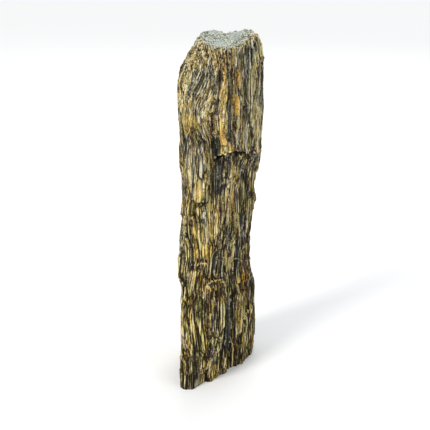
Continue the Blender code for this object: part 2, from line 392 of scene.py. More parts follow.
def cutBreaks(piece):
    # gives the points' new places, how far each is pushed outward, its painted shadow under a break, and its
    # lip
    rng = np.random.default_rng(chips["seed"])
    start = pointsOf(piece)
    place = start.copy()
    push = np.zeros(len(place))
    shade = np.zeros(len(place))
    lines = []
    free = (start[:, 2] > breakEdge["snapFrom"]) & (np.abs(outwardOf(piece)[:, 2]) < breakEdge["snapSlope"])
    for fields in allBreaks(rng):
        one = dict(zip(breakFields, fields))
        offset = arcFrom(one["bearing"], start)
        teeth = toothHeights(offset, rng)
        line, leftEnd = breakLine(one, offset, teeth)
        gap = start[:, 2] - line
        size, side = abs(one["step"]), np.sign(one["step"])
        along = gap * side
        fade = falloff(along, one["run"])
        under = one["undercut"] * falloff(along, breakEdge["undercutRun"])
        across = window(offset, one["halfWidth"])
        push += size * across * np.where(along > 0, one["proud"] * fade, (one["proud"] - 1) * fade - under)
        faint = 1 if side > 0 else breakEdge["flakeShade"]
        deep = min(size / breakEdge["deepStep"], breakEdge["deepest"]) * faint
        shade += across * deep * (along <= 0) * falloff(along, breakEdge["shadowRun"])
        if one["undercut"] > 0:
            # painted shadow under the lip, and a painted highlight where the lip faces up or the left end
            # drops
            dark = across * min(1, size / breakEdge["fullStep"]) * faint
            shows = (side < 0) | ((one["drop"] > 0) & (leftEnd > 0))
            lit = across * shows * (breakEdge["lipHighlight"] + breakEdge["lipUneven"] * teeth)
            lines.append((across, line, side, dark, lit))
        near = free & (np.abs(offset) < one["halfWidth"]) & (np.abs(gap) < breakEdge["snap"])
        place[near, 2] = line[near] + np.where(gap[near] > 0, 1, -1) * breakEdge["lip"]
        free &= ~near
    return place, push, shade, lipsBeside(place, lines)


def lipsBeside(place, lines):
    # how far each point is from the nearest lip, above 0 on its proud side, and how strong the painted shadow
    # and painted highlight along that lip are
    lips = np.zeros((3, len(place)))
    lips[0] = breakEdge["lipReach"]
    for across, line, side, dark, lit in lines:
        away = (place[:, 2] - line) * side
        close = (across > breakEdge["lipFrom"]) & (np.abs(away) < np.abs(lips[0]))
        lips[:, close] = away[close], dark[close], lit[close]
    return dict(zip(("lip", "lipPaintedShadow", "lipPaintedHighlight"), lips))


# notches and proud rods, already in the solid, get their sharp sides here

notches = {
    # bearing, half width, low, high, depth
    "underStrip": (-95, 0.008, 0.588, 0.632, 0.0055),
    "footFront": (-114, 0.008, -0.03, 0.09, 0.005),
    "footRight": (-52, 0.01, 0.02, 0.215, 0.0035),
    "besideStrip": (-74, 0.005, 0.65, 0.79, 0.0035),
    "leftLow": (168, 0.009, 0.12, 0.33, 0.0035),
    "backLeft": (112, 0.01, 0.3, 0.47, 0.0035),
    "backFoot": (84, 0.009, -0.03, 0.17, 0.0035),
    "rightBack": (40, 0.009, 0.5, 0.64, 0.0035),
}

proudRods = {
    # the same, and how far it stands out
    "longGold": (-86, 0.007, 0.621, 0.788, 0.0045),
    "orangeLens": (-66, 0.0065, 0.65, 0.724, 0.004),
    "goldPatch": (-115, 0.0105, 0.486, 0.538, 0.0035),
    "backLong": (120, 0.0085, 0.52, 0.72, 0.0035),
    "backShort": (60, 0.008, 0.09, 0.26, 0.0035),
    "leftRod": (-172, 0.0085, 0.44, 0.6, 0.003),
}

rodEnds = {
    "blunt": 5,              # straight sides and rounded ends
    "lens": 2,               # pointed ends
    "thinnest": 0.05,
}


def longWindow(distance, halfWidth, z, low, high, shape):
    up = (z - (low + high) / 2) / ((high - low) / 2)
    taper = np.sqrt(np.clip(1 - np.abs(up) ** rodEnds[shape], 0, 1))
    return window(distance / np.maximum(taper, rodEnds["thinnest"]), halfWidth) * (taper > 0)


def rodWindow(points, bearing, halfWidth, low, high, shape="blunt"):
    return longWindow(arcFrom(bearing, points), halfWidth, points[:, 2], low, high, shape)


def rowWindow(points, x, halfWidth, low, high):
    # the same, placed by its x, for the front
    return longWindow(points[:, 0] - x, halfWidth, points[:, 2], low, high, "blunt")


def pushRods(points, push):
    for direction, features in ((-1, notches), (1, proudRods)):
        for *rod, depth in features.values():
            push += direction * depth * rodWindow(points, *rod)
    return push


# grain: where every point lies in the bundle of rods, which bends and leans

grainBend = {
    "wide": (0.240, 0.0055),     # size of the bends, and how far they stray
    "narrow": (0.060, 0.0008),
    "seeds": (3.1, 8.7),         # for x and for y
    "stretch": 1.9,
    # x, z, radius in x, radius in z, lean: the rods lean right going up where it is above 0
    "leans": ((-0.048, 0.735, 0.048, 0.075, 0.60),
              (-0.080, 0.600, 0.030, 0.070, 0.16),
              (-0.070, 0.140, 0.045, 0.120, -0.14),
              (-0.060, 0.390, 0.040, 0.080, -0.12)),
    "leanBack": 0.06,            # behind this y nothing leans
}


def grainOf(points):
    grain = points.copy()
    for size, stray in (grainBend["wide"], grainBend["narrow"]):
        for axis, seed in enumerate(grainBend["seeds"]):
            grain[:, axis] += stray * noiseOver(points, size, seed, grainBend["stretch"])
    for x, z, radiusX, radiusZ, lean in grainBend["leans"]:
        near = np.exp(-((points[:, 0] - x) / radiusX) ** 2 - ((points[:, 2] - z) / radiusZ) ** 2)
        grain[:, 0] -= lean * (points[:, 2] - z) * near * (points[:, 1] < grainBend["leanBack"])
    return grain


# node helpers, for the geometry nodes and for the material


def addNode(group, kind, inputs=(), **settings):
    made = group.nodes.new(kind)
    for name, value in settings.items():
        setattr(made, name, value)
    for socket, value in dict(inputs).items():
        if isinstance(value, bpy.types.NodeSocket):
            group.links.new(value, made.inputs[socket])
        else:
            made.inputs[socket].default_value = value
    return made


def maths(group, operation, *values):
    return addNode(group, "ShaderNodeMath", enumerate(values), operation=operation).outputs[0]


def vectorMaths(group, operation, *values):
    return addNode(group, "ShaderNodeVectorMath", enumerate(values), operation=operation).outputs[0]


def separate(group, vector):
    return addNode(group, "ShaderNodeSeparateXYZ", {"Vector": vector}).outputs


def mapRange(group, value, low, high, toLow=0.0, toHigh=1.0):
    inputs = {"Value": value, "From Min": low, "From Max": high, "To Min": toLow, "To Max": toHigh}
    return addNode(group, "ShaderNodeMapRange", inputs, interpolation_type="SMOOTHSTEP").outputs[0]


def blend(group, share, first, second):
    return maths(group, "MULTIPLY_ADD", maths(group, "SUBTRACT", second, first), share, first)


def times(group, first, second):
    return maths(group, "MULTIPLY", first, second)


def weighted(group, *terms):
    total = 0.0
    for value, weight in terms:
        total = maths(group, "MULTIPLY_ADD", value, weight, total)
    return total


def centred(group, value):
    return maths(group, "SUBTRACT", value, 0.5)


# rods: long cells in a few sizes, broken across into pieces, each at its own level, with grooves between.
# The crumb takes the rods' place where the stone is weathered to grains, and the fibres are too fine to raise

rodLayers = {
    "slab": {"width": 0.027, "length": 0.4, "piece": 0.2, "shift": (3.3, 1.7, 5.1),
             "level": 0.0026, "tilt": 0.0016, "groove": 0.0008, "grooveWidth": 0.07},
    "rod": {"width": 0.0105, "length": 0.52, "piece": 0.14, "shift": (7.9, 4.2, 2.6),
            "level": 0.003, "tilt": 0.0016, "groove": 0.0014, "grooveWidth": 0.13},
    "splinter": {"width": 0.0047, "length": 0.3, "piece": 0.062, "shift": (1.4, 9.6, 8.3),
                 "level": 0.0026, "tilt": 0.0014, "groove": 0.0012, "grooveWidth": 0.2},
    "crumb": {"width": 0.0028, "length": 0.06, "piece": 0.017, "shift": (6.1, 2.9, 4.7),
              "level": 0.0038, "tilt": 0.001, "groove": 0.0012, "grooveWidth": 0.22},
    "fibre": {"width": 0.0023, "length": 0.15, "piece": 0.034, "shift": (5.2, 8.8, 1.9),
              "level": 0.0006, "tilt": 0.0003, "groove": 0.0005, "grooveWidth": 0.25},
}

rodBreaks = {
    "shortest": 0.55,        # of the layer's piece length
    "longest": 1.60,
    "stagger": 17.0,         # neighbouring rods break at unrelated heights
    "keys": (91.0, 57.0),    # and each of their pieces has draws of its own
    "slant": 0.10,           # how steeply a break cuts across its rod
}

rimTeeth = {
    "rod": 0.0070,
    "splinter": 0.0040,
    "sunk": 0.0085,          # the teeth stand between this far below the rim and a little above it
    "binDegrees": 3,         # the rim's height is taken once in this many degrees,
    "rimRange": 0.04,        # from points at most this far below wrap's highest level
}


def stretched(group, grain, width, length):
    return vectorMaths(group, "MULTIPLY", grain, (1 / width, 1 / width, 1 / length))


def rodCells(group, grain, layer):
    scaled = stretched(group, grain, layer["width"], layer["length"])
    moved = vectorMaths(group, "ADD", scaled, layer["shift"])
    cell, border = (addNode(group, "ShaderNodeTexVoronoi", {"Vector": moved, "Scale": 1.0}, feature=feature)
                    for feature in ("F1", "DISTANCE_TO_EDGE"))
    draws = separate(group, cell.outputs["Color"])
    inCell = separate(group, vectorMaths(group, "SUBTRACT", moved, cell.outputs["Position"]))
    up = separate(group, grain)["Z"]
    spread = rodBreaks["longest"] - rodBreaks["shortest"]
    run = maths(group, "MULTIPLY_ADD", draws[1], layer["piece"] * spread,
                layer["piece"] * rodBreaks["shortest"])
    pieces = maths(group, "MULTIPLY_ADD", draws[0], rodBreaks["stagger"], maths(group, "DIVIDE", up, run))
    pieces = maths(group, "MULTIPLY_ADD", inCell[0], rodBreaks["slant"], pieces)
    key = {0: times(group, draws[0], rodBreaks["keys"][0]),
           1: times(group, draws[2], rodBreaks["keys"][1]),
           2: maths(group, "FLOOR", pieces)}
    key = addNode(group, "ShaderNodeCombineXYZ", key).outputs[0]
    chance = addNode(group, "ShaderNodeTexWhiteNoise", {"Vector": key}, noise_dimensions="3D")
    piece = separate(group, chance.outputs["Color"])
    return {"level": piece[0], "hue": piece[1], "lean": piece[2], "pick": chance.outputs["Value"],
            "edge": border.outputs["Distance"], "along": centred(group, maths(group, "FRACT", pieces))}


def rodHeight(group, cells, layer):
    level = times(group, centred(group, cells["level"]), layer["level"])
    lean = times(group, cells["along"], centred(group, cells["lean"]))
    tilt = times(group, lean, 2 * layer["tilt"])
    groove = mapRange(group, cells["edge"], 0, layer["grooveWidth"], -layer["groove"], 0)
    return maths(group, "ADD", maths(group, "ADD", level, tilt), groove)


def named(group, name, kind="FLOAT"):
    return addNode(group, "GeometryNodeInputNamedAttribute", {"Name": name}, data_type=kind).outputs[0]


def raiseRods(piece):
    group = bpy.data.node_groups.new("raisedRods", "GeometryNodeTree")
    group.interface.new_socket("Geometry", in_out="INPUT", socket_type="NodeSocketGeometry")
    group.interface.new_socket("Geometry", in_out="OUTPUT", socket_type="NodeSocketGeometry")
    start = group.nodes.new("NodeGroupInput")
    grain = named(group, "grain", "FLOAT_VECTOR")
    raised = [name for name in rodLayers if name != "fibre"]
    cells = {name: rodCells(group, grain, rodLayers[name]) for name in raised}
    heights = {name: rodHeight(group, cells[name], rodLayers[name]) for name in raised}
    rods = maths(group, "ADD", heights["rod"], heights["splinter"])
    height = maths(group, "ADD", heights["slab"], blend(group, named(group, "crumb"), rods, heights["crumb"]))
    height = times(group, height, named(group, "relief"))
    teeth = weighted(group, (cells["rod"]["level"], rimTeeth["rod"]),
                     (cells["splinter"]["level"], rimTeeth["splinter"]), (1.0, -rimTeeth["sunk"]))
    lift = addNode(group, "ShaderNodeCombineXYZ", {2: times(group, teeth, named(group, "rim"))})
    push = addNode(group, "ShaderNodeVectorMath",
                   {0: named(group, "outward", "FLOAT_VECTOR"), "Scale": height}, operation="SCALE")
    offset = vectorMaths(group, "ADD", push.outputs[0], lift.outputs[0])
    moved = addNode(group, "GeometryNodeSetPosition", {"Geometry": start.outputs[0], "Offset": offset})
    end = group.nodes.new("NodeGroupOutput")
    group.links.new(moved.outputs[0], end.inputs[0])
    makeActive(piece)
    raising = piece.modifiers.new("raisedRods", "NODES")
    raising.node_group = group
    bpy.ops.object.modifier_apply(modifier=raising.name)


def keepInBox(piece):
    low, high = (np.array(corner) for corner in cadBox)
    movePoints(piece, np.clip(pointsOf(piece), low, high))


# where the stone is lighter, greyer, rustier, crumbled or freshly broken

patches = {
    # bearing, half width, low, high, then what is added to the light, to the grey and to the rust
    "greyRight": (-20, 0.028, 0.6, 0.8, 0.02, 0.2, -0.1),
    "backGrey": (115, 0.034, 0.56, 0.76, 0, 0.3, -0.1),
    "backGold": (75, 0.022, 0.32, 0.46, 0.1, -0.5, 0.06),
    "leftRust": (165, 0.02, 0.18, 0.33, 0.04, -0.6, 0.1),
}

frontPatches = {
    # x, half width, low, high, then the same three and how far it is one unsplit rod
    "longGoldTop": (0.0108, 0.0044, 0.724, 0.792, 0.04, -1, 0.08, 0.5),
    "longGold": (0.0068, 0.005, 0.64, 0.752, -0.03, -1, 0.07, 0.5),
    "longGoldFoot": (0.006, 0.0052, 0.623, 0.668, -0.05, 0, 0.17, 0.5),
    "goldTongue": (0.0115, 0.0105, 0.599, 0.63, 0.08, -1, 0.08, 0.3),
    # painted shadow under the long gold strip's end, and painted shade in the hollow under the strip
    "shadowUnderLongGold": (0.003, 0.0066, 0.6165, 0.6235, -0.34, 0, -0.3, 0.3),
    "underStrip": (-0.011, 0.0085, 0.592, 0.636, -0.38, 0.5, -1, 0.5),
    "besideStrip": (0.0205, 0.0046, 0.622, 0.765, -0.16, 0.7, -1, 0.3),
    "orangeLens": (0.0352, 0.0058, 0.684, 0.73, 0.04, -1, 0.4, 0.7),
    "lensFoot": (0.0375, 0.004, 0.645, 0.698, 0.04, -1, 0.02, 0.4),
    "rustAbove": (0.037, 0.0046, 0.74, 0.785, -0.02, -1, 0.2, 0.4),
    "greyCorner": (0.062, 0.02, 0.795, 0.86, -0.05, 0.45, -0.2, 0),
    "rightTop": (0.077, 0.0048, 0.772, 0.816, 0.08, -1, 0.06, 0.4),
    "rightUpper": (0.071, 0.004, 0.735, 0.785, 0.08, -1, 0.04, 0.4),
    "brownBeside": (-0.0105, 0.006, 0.642, 0.684, 0.02, -0.8, 0.08, 0.2),
    "darkSpot": (-0.0085, 0.0042, 0.69, 0.728, -0.2, 0.6, -0.5, 0.3),
    "goldPatch": (-0.049, 0.0098, 0.488, 0.54, 0.1, -1, 0.06, 0.35),
    "rustBlock": (-0.072, 0.021, 0.636, 0.687, -0.05, -1, 0.1, 0.4),
    "orangeTop": (-0.001, 0.016, 0.78, 0.812, 0.02, -0.5, 0.08, 0),
    "midGold": (0.0285, 0.0048, 0.47, 0.574, 0.08, -1, 0.02, 0.4),
    "tanGold": (-0.029, 0.0042, 0.552, 0.606, 0.08, -1, 0.04, 0.4),
    "leftGold": (-0.07, 0.0042, 0.508, 0.556, 0.1, -1, 0, 0.3),
    "paleLeft": (-0.047, 0.017, 0.345, 0.43, 0.22, -0.8, 0.02, 0.1),
    "rustRun": (-0.033, 0.004, 0.34, 0.38, 0.06, -1, 0.2, 0.4),
    "middleGold": (-0.006, 0.0036, 0.409, 0.474, 0.1, -1, 0.1, 0.4),
    "yellow": (0.035, 0.0036, 0.386, 0.43, 0.12, -1, -0.02, 0.4),
    "rightGold": (0.068, 0.0032, 0.351, 0.437, 0.08, -1, 0, 0.3),
    # painted highlights on the lit top edges of the hook, arch and front flakes
    "hookLegHighlight": (0.015, 0.0018, 0.277, 0.32, 0.4, -1, -0.1, 0.2),
    "archLegHighlight": (-0.0605, 0.0018, 0.298, 0.328, 0.34, -1, -0.1, 0.2),
    "frontLegHighlight": (-0.031, 0.0018, 0.256, 0.276, 0.34, -1, -0.1, 0.2),
    "orangePatch": (0.059, 0.01, 0.22, 0.254, 0.1, -1, 0.34, 0.2),
    "lowYellow": (-0.083, 0.015, 0.07, 0.225, 0.09, -0.7, 0, 0.1),
    "lowGold": (0.0525, 0.0045, 0.092, 0.157, 0.12, -1, 0.04, 0.3),
    "darkUpperLeft": (-0.077, 0.014, 0.596, 0.638, -0.12, 0.4, -0.3, 0),
    # painted shadow under the gold tongue and under the crack
    "shadowUnderTongue": (0.009, 0.014, 0.572, 0.588, -0.24, 0.2, -0.5, 0),
    "shadowUnderCrack": (0.04, 0.019, 0.573, 0.598, -0.16, 0.3, -0.3, 0),
    "darkMiddle": (-0.002, 0.016, 0.496, 0.58, -0.1, 0.5, -0.3, 0),
    "darkLeft": (-0.086, 0.01, 0.265, 0.41, -0.18, 0.2, -0.2, 0),
    "darkUnderHook": (-0.01, 0.013, 0.292, 0.35, -0.1, 0.2, -0.3, 0),
    "darkUnderArch": (-0.047, 0.012, 0.186, 0.25, -0.36, 0.1, -0.8, 0.4),
    "darkBand": (0.0225, 0.0075, 0.04, 0.285, -0.28, 0.6, -0.5, 0.3),
    "darkRight": (0.082, 0.007, 0.155, 0.22, -0.2, 0.2, -0.3, 0),
    "darkFoot": (-0.06, 0.0085, 0.02, 0.098, -0.38, 0.1, -1, 0.4),
    "darkHeel": (-0.058, 0.009, -0.03, 0.04, -0.16, 0.5, -0.5, 0.2),
    "darkLow": (0, 0.026, 0.04, 0.215, -0.06, 0.2, -0.2, 0),
}

clouds = {
    # noise that strays over the whole stone: its amount, size, seed and stretch
    "light": (0.07, 0.09, 5.0, 2.0),
    "grey": (0.30, 0.07, 9.0, 2.5),
    "rust": (0.06, 0.05, 14.0, 2.0),
}

fades = {
    # a region is gone at the first value and in full at the second
    "front": (0.15, -0.15),      # y of the normal
    "top": (0.55, 0.80),         # z of the normal
    "foot": (0.55, 0.20),        # z
    "overMiddle": (0.62, 0.52),
    "underMiddle": (0.30, 0.38),
    "upper": (0.60, 0.64),
    "unworn": (0, 0.030),
    "left": (0, -0.03),          # x
    "right": (0.02, 0.05),
    "offShoulder": (-0.04, -0.01),
    "rim": (0.026, 0.010),       # depth below the rim
    "crumbRim": (0.014, 0.002),
    "freshSide": (0.012, 0.0048),
    "teethSide": (0.016, 0),
    "teethTop": (0.86, 1),       # share of the way from the top's middle to the rim
    "freshEdge": (-0.003, 0.003),    # distance inside the outline of the fresh top
}

regionTones = {
    # what each region adds
    "foot": {"light": -0.10, "grey": -0.16, "contrast": 0.58, "rich": 0.10},
    "footLeft": {"light": -0.02, "contrast": 0.22},
    "footRight": {"light": -0.13},
    "middleLeft": {"light": 0.14, "contrast": 0.10, "rich": 0.04},
    "upperRight": {"light": 0.13},
    "upperFace": {"contrast": -0.13},
    "rim": {"contrast": 0.35},
}

crumbs = {
    # bearing, half width, low, high, and how far the rods are crumbled there
    "places": ((-124, 0.052, 0.66, 0.835, 0.9),
               (-60, 0.036, 0.79, 0.85, 0.4),
               (130, 0.06, 0.72, 0.87, 0.8)),
    "edge": (0.2, 0.6),
    "level": 0.85,           # a noise of this level and this stray makes the edge ragged
    "stray": 0.5,
    "noise": (0.016, 21.0),  # its size and seed
    "rim": 0.8,              # how far they are crumbled under the rim, all round
    "shade": 0.04,
}

rodRelief = {
    "top": 0.55,             # what the relief of the rods loses on the top
    "whole": 0.75,           # and where they aren't split
    "foot": 0.50,            # what is left of it at the sawn edge
}

freshTop = {
    # the pale fresh face seen from above, in x and y; at the back it goes over the rim
    "outline": ((-0.062, 0.02), (-0.042, -0.01), (-0.037, -0.054), (-0.026, -0.074), (-0.008, -0.082),
                (0.017, -0.082), (0.03, -0.074), (0.041, -0.056), (0.053, -0.024), (0.067, 0.008),
                (0.088, 0.018), (0.11, 0.03), (0.11, 0.13), (-0.11, 0.13), (-0.1, 0.04)),
    "stray": 0.006,          # how ragged its edge is, with the size and seed of each noise
    "noises": ((0.014, 31), (0.0045, 33)),
}

plainSpots = {
    # smooth patches of the fresh face: middle in x and y, radius in x and y
    "places": ((-0.003, -0.044, 0.014, 0.04), (0.033, 0.04, 0.02, 0.022), (-0.019, 0.05, 0.015, 0.016)),
    "edge": (1.2, 0.7),
    "stray": 0.4,
    "noise": (0.01, 41),
}

darkSpots = {
    "places": ((0.033, -0.012, 0.005, 0.005), (0.064, -0.006, 0.009, 0.009), (0.056, 0.03, 0.004, 0.004)),
    "edge": (1.3, 0.5),
    "stray": 0.5,
    "noise": (0.006, 43),
    "shade": 0.35,
}


def outlineDistance(outline, points):
    # distance to a closed outline seen from above, below 0 inside it
    nearest = np.full(len(points), 1.0)
    crossings = np.zeros(len(points), int)
    x, y = points[:, 0], points[:, 1]
    for (startX, startY), (endX, endY) in zip(outline, outline[1:] + outline[:1]):
        runX, runY = endX - startX, endY - startY
        t = np.clip(((x - startX) * runX + (y - startY) * runY) / (runX ** 2 + runY ** 2), 0, 1)
        nearest = np.minimum(nearest, np.hypot(startX + t * runX - x, startY + t * runY - y))
        if runY != 0:
            crossings += ((startY > y) != (endY > y)) & (x < startX + (y - startY) / runY * runX)
    return np.where(crossings % 2 == 1, -nearest, nearest)


def rimDepth(points, share):
    # how far each point lies below the rim on its side of the stone
    turn = np.degrees(np.arctan2(points[:, 1], points[:, 0]))
    high = onSides(share) & (points[:, 2] > wrap["highest"] - rimTeeth["rimRange"])
    count = 360 // rimTeeth["binDegrees"]
    bins = np.floor((turn + 180) / rimTeeth["binDegrees"]).astype(int) % count
    rim = np.zeros(count)
    np.maximum.at(rim, bins[high], points[high, 2])
    return rim[bins] - points[:, 2]


def faded(name, values):
    return smoothstep(*fades[name], values)


def regionsOf(piece, points, share, depth):
    x, z = points[:, 0], points[:, 2]
    normal = outwardOf(piece)
    sides = onSides(share)
    foot, upper = faded("foot", z), faded("upper", z)
    left, right = faded("left", x), faded("right", x)
    return {
        "sides": sides,
        "front": sides * faded("front", normal[:, 1]),
        "top": faded("top", normal[:, 2]) * (share < 1),
        "foot": foot,
        "footLeft": foot * left,
        "footRight": foot * right,
        "middleLeft": faded("overMiddle", z) * faded("underMiddle", z) * left,
        "upperRight": upper * right,
        "upperFace": upper * faded("offShoulder", x),
        "rim": faded("rim", depth),
    }


def addTones(tones, amounts, inside):
    for name, amount in amounts.items():
        tones[name] += amount * inside


def paintTones(points, regions, shade):
    # gives the tones, and how far the stone is one unsplit rod
    tones = {name: amount * noiseOver(points, *cloud) for name, (amount, *cloud) in clouds.items()}
    tones |= {name: np.ones(len(points)) for name in ("contrast", "rich")}
    # painted shadow under the breaks, darkening the stone's own colour
    tones["light"] -= breakEdge["shade"] * np.minimum(shade, breakEdge["mostShade"])
    for name, amounts in regionTones.items():
        addTones(tones, amounts, regions[name])
    for *rod, light, grey, rust in patches.values():
        inside = rodWindow(points, *rod) * regions["sides"]
        addTones(tones, {"light": light, "grey": grey, "rust": rust}, inside)
    whole = np.zeros(len(points))
    for *rod, light, grey, rust, unsplit in frontPatches.values():
        inside = rowWindow(points, *rod) * regions["front"]
        addTones(tones, {"light": light, "grey": grey, "rust": rust}, inside)
        whole = np.maximum(whole, unsplit * inside)
    return tones, whole


def crumbledShare(points, depth, whole):
    crumb = crumbs["rim"] * faded("crumbRim", depth)
    ragged = crumbs["level"] + crumbs["stray"] * noiseOver(points, *crumbs["noise"])
    for *rod, amount in crumbs["places"]:
        inside = rodWindow(points, *rod, "lens")
        crumb = np.maximum(crumb, amount * smoothstep(*crumbs["edge"], inside * ragged))
    return crumb * (1 - whole)


def freshShare(points, depth, regions):
    inside = -outlineDistance(freshTop["outline"], points)
    inside += freshTop["stray"] * sum(noiseOver(points, *layer) for layer in freshTop["noises"])
    backSide = regions["sides"] * (points[:, 1] > 0)
    fresh = np.maximum(regions["top"], backSide) * faded("freshEdge", inside)
    return fresh * faded("freshSide", depth * regions["sides"])


def spotShare(points, spots):
    # spots seen from above, with ragged edges
    stray = spots["stray"] * noiseOver(points, *spots["noise"])
    inside = np.zeros(len(points))
    for x, y, radiusX, radiusY in spots["places"]:
        away = np.hypot((points[:, 0] - x) / radiusX, (points[:, 1] - y) / radiusY)
        inside = np.maximum(inside, smoothstep(*spots["edge"], away + stray))
    return inside


def paintRegions(piece, points, share, shade, lips):
    depth = rimDepth(points, share)
    regions = regionsOf(piece, points, share, depth)
    top = regions["top"]
    tones, whole = paintTones(points, regions, shade)
    crumb = crumbledShare(points, depth, whole)
    tones["light"] -= darkSpots["shade"] * top * spotShare(points, darkSpots) + crumbs["shade"] * crumb
    worn = rodRelief["foot"] + (1 - rodRelief["foot"]) * faded("unworn", points[:, 2])
    painted = tones | lips | {
        "whole": whole,
        "crumb": np.maximum(crumb, top),
        "fresh": freshShare(points, depth, regions),
        "plain": spotShare(points, plainSpots),
        "relief": (1 - rodRelief["top"] * top) * (1 - rodRelief["whole"] * whole) * worn,
        "rim": np.where(regions["sides"], faded("teethSide", depth), faded("teethTop", share)),
    }
    for name, values in painted.items():
        store(piece, name, values)


# the stone's colours as they look on a screen, from the dark gaps to the bright edges

palette = {
    "gold": ((0, (31, 23, 6)), (0.16, (58, 46, 19)), (0.34, (112, 93, 51)), (0.54, (165, 140, 76)),
             (0.74, (204, 178, 100)), (1, (226, 205, 138))),
    "olive": ((0, (23, 21, 6)), (0.16, (48, 44, 20)), (0.34, (98, 93, 57)), (0.54, (148, 139, 90)),
              (0.74, (185, 175, 118)), (1, (217, 207, 158))),
    "tan": ((0, (32, 20, 16)), (0.16, (66, 51, 40)), (0.34, (124, 107, 88)), (0.54, (172, 155, 128)),
            (0.74, (203, 188, 152)), (1, (229, 217, 183))),
    "grey": ((0, (22, 20, 14)), (0.2, (44, 43, 36)), (0.42, (86, 86, 75)), (0.68, (142, 139, 121)),
             (1, (204, 198, 172))),
    "rust": ((0, (36, 24, 10)), (0.2, (92, 66, 28)), (0.4, (156, 117, 54)), (0.62, (204, 160, 82)),
             (1, (231, 201, 135))),
    "fresh": ((0, (50, 51, 46)), (0.25, (103, 107, 98)), (0.5, (148, 152, 138)), (0.75, (175, 178, 162)),
              (1, (216, 219, 202))),
    "smooth": ((0, (60, 66, 70)), (0.3, (116, 124, 124)), (0.6, (155, 163, 159)),
               (1, (203, 209, 201))),
    "gap": (43, 34, 45),
}

looks = {
    "tones": {"slab": 0.18, "rod": 0.32, "splinter": 0.43, "fibre": 0.68},
    "crumbTone": 0.84,
    "middle": 0.66,
    # width and length of each noise, and its detail
    "noises": {"streak": (0.0015, 0.014, 4.0), "speck": (0.0020, 0.0030, 3.0),
               "crystal": (0.0045, 0.0045, 4.0), "broad": (0.0200, 0.0200, 2.0)},
    "noiseRoughness": 0.6,
    "streak": 1.00,
    "speck": 1.85,
    # width of the dark gaps as a share of their cells, and the light left in them; the darkening is partly
    # painted shade, partly their dark minerals
    "gaps": {"splinter": (0.16, 0.30), "rod": (0.10, 0.35), "fibre": (0.14, 0.60), "crumb": (0.18, 0.45)},
    # where each lip's band of painted highlight and painted shadow begins and ends, as distances from the
    # lip, and what it adds
    "lips": {"lipPaintedHighlight": ((-0.0002, 0.0004), (0.0020, 0.0036), 0.70),
             "lipPaintedShadow": ((-0.0065, -0.0020), (-0.0002, 0.0006), -0.38)},
    "wholeEven": 0.6,        # how much of its own tones an unsplit rod loses
    "wholeGap": 0.95,        # and the light left in its gaps under their painted shade
    "wholeTan": -0.6,        # it is seldom tan
    "rustOlive": -2.0,       # and where the stone is rusty it isn't olive
    "rustDraw": 0.5,
    # the draws from which a cell has some of a colour and all of it, then the least and the most that shows
    "chances": {"olive": (0.38, 0.54, 0, 1), "tan": (0.60, 0.64, 0, 0.85),
                "grey": (0.74, 0.76, 0, 0.9), "rust": (0.49, 0.52, 0, 1)},
    "gapTone": (0.22, 0.05),     # the tones from which a gap turns violet
    "gapDraw": (0.78, 0.80),
    "roughness": (0.80, 0.94),
    "specular": 0.18,
    "bumps": {"streak": 0.0005, "speck": 0.0006, "crystal": 0.0006},
    "bump": 0.9,
}

freshLooks = {
    "contrast": (-0.12, 0.06, 0.60, 1.50),       # of its grains, by the broad noise
    "plainContrast": 0.30,
    "crystal": 2.8,
    "grains": 0.95,
    "broad": 0.6,
    "middle": 0.62,
    "darkGrains": (0.98, 1.00, 1, 0.30),
    "smooth": 0.8,           # how far the smooth patches take their own colour
}

paintedNames = ("light", "grey", "rust", "contrast", "rich", "whole", "crumb", "fresh", "plain",
                "lip", "lipPaintedShadow", "lipPaintedHighlight")


def linear(colour):
    # from screen values to light
    return tuple(((value / 255 + 0.055) / 1.055) ** 2.4 for value in colour)


def ramp(group, value, stops):
    made = addNode(group, "ShaderNodeValToRGB", {"Fac": value})
    elements = made.color_ramp.elements
    while len(elements) < len(stops):
        elements.new(0.5)
    for element, (place, colour) in zip(elements, stops):
        element.position = place
        element.color = (*linear(colour), 1)
    return made.outputs["Color"]


def mixColour(group, factor, first, second):
    return addNode(group, "ShaderNodeMix", {0: factor, 6: first, 7: second}, data_type="RGBA").outputs[2]


def attribute(group, name, output="Fac"):
    return addNode(group, "ShaderNodeAttribute", attribute_name=name).outputs[output]


def grainNoise(group, grain, width, length, detail):
    # noise stretched along the rods, -0.5 to 0.5
    inputs = {"Vector": stretched(group, grain, width, length), "Scale": 1.0, "Detail": detail,
              "Roughness": looks["noiseRoughness"]}
    return centred(group, addNode(group, "ShaderNodeTexNoise", inputs).outputs[0])


def gapShadeAndMinerals(group, cells, painted):
    # 1 on the rods, less in the gaps between them: partly painted shade in the grooves, partly their dark
    # minerals
    light = {name: mapRange(group, cells[name]["edge"], 0, width, left, 1)
             for name, (width, left) in looks["gaps"].items()}
    between = times(group, light["splinter"], light["rod"])
    between = times(group, between, light["fibre"])
    between = blend(group, painted["crumb"], between, light["crumb"])
    return blend(group, painted["whole"], between, looks["wholeGap"])


